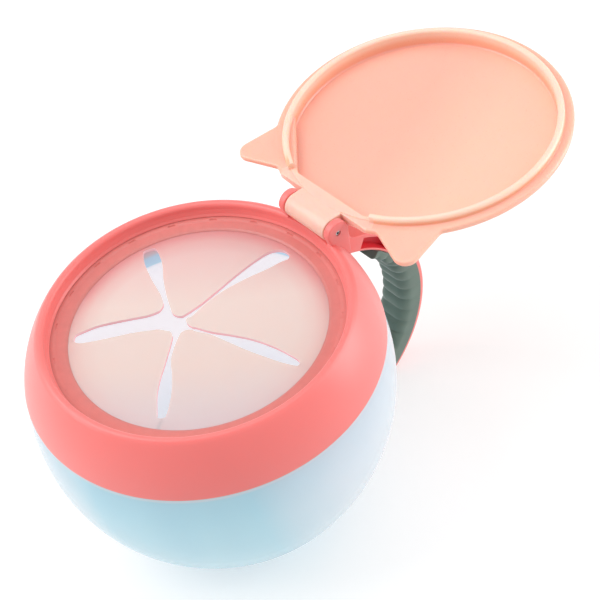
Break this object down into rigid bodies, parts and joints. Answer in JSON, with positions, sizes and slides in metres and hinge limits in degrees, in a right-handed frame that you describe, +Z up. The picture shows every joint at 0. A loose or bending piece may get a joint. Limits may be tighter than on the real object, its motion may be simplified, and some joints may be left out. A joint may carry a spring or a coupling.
{
  "type": "toddler snack container",
  "caption": "Round snack bowl with a twist-on collar, a soft slit flap that a hand pushes through, a hinged lid and a carrying handle with a soft grip.",
  "frame": {"origin": "centre of the bowl's flat base, on the surface it stands on", "axes": "+Z up, +Y towards the hinge and the handle, -Y towards the front, where the lid opens, +X to the right seen from the front"},
  "size_m": [0.0992, 0.1736, 0.0868],
  "materials": {
    "bowl": "translucent, smooth",
    "collar": "satin",
    "grip": "soft matte",
    "pin": "rolled steel",
    "lid": "satin, slightly translucent",
    "flap_frame": "satin",
    "flap": "soft, translucent"
  },
  "bodies": {
    "bowl": {"bowl": "bowl"},
    "flap_insert": {"flap_frame": "flap_frame", "flap_ring": "flap"},
    "collar": {"collar": "collar", "handle_frame": "collar", "handle_grip": "grip", "hinge_pin": "pin"},
    "lid": {"lid": "lid"},
    "petal_1": {"petal_1": "flap"},
    "petal_2": {"petal_2": "flap"},
    "petal_3": {"petal_3": "flap"},
    "petal_4": {"petal_4": "flap"},
    "petal_5": {"petal_5": "flap"}
  },
  "joints": [
    {"name": "collar_lift", "type": "slide", "parent": "bowl", "child": "flap_insert", "axis": [0, 0, 1], "range_m": [0, 0.008]},
    {"name": "collar_turn", "type": "hinge", "parent": "flap_insert", "child": "collar", "pos_m": [0, 0, 0.06], "axis": [0, 0, 1], "range_deg": [0, 180]},
    {"name": "lid_hinge", "type": "hinge", "parent": "collar", "child": "lid", "pos_m": [0, 0.0415, 0.0773], "axis": [1, 0, 0], "range_deg": [0, 176]},
    {"name": "petal_1_bend", "type": "hinge", "parent": "flap_insert", "child": "petal_1", "pos_m": [-0.01522, 0.02094, 0.06855], "axis": [0.809, 0.5878, 0], "range_deg": [-35, 65], "stiffness_Nm_per_rad": 0.003},
    {"name": "petal_2_bend", "type": "hinge", "parent": "flap_insert", "child": "petal_2", "pos_m": [-0.02462, -0.008, 0.06855], "axis": [-0.309, 0.9511, 0], "range_deg": [-35, 65], "stiffness_Nm_per_rad": 0.003},
    {"name": "petal_3_bend", "type": "hinge", "parent": "flap_insert", "child": "petal_3", "pos_m": [0, -0.02589, 0.06855], "axis": [-1, 0, 0], "range_deg": [-35, 65], "stiffness_Nm_per_rad": 0.003},
    {"name": "petal_4_bend", "type": "hinge", "parent": "flap_insert", "child": "petal_4", "pos_m": [0.02462, -0.008, 0.06855], "axis": [-0.309, -0.9511, 0], "range_deg": [-35, 65], "stiffness_Nm_per_rad": 0.003},
    {"name": "petal_5_bend", "type": "hinge", "parent": "flap_insert", "child": "petal_5", "pos_m": [0.01522, 0.02094, 0.06855], "axis": [0.809, -0.5878, 0], "range_deg": [-35, 65], "stiffness_Nm_per_rad": 0.003}
  ],
  "couplings": [
    {"joint": "collar_turn", "follows": "collar_lift", "rad_per_m": 392.69}
  ]
}
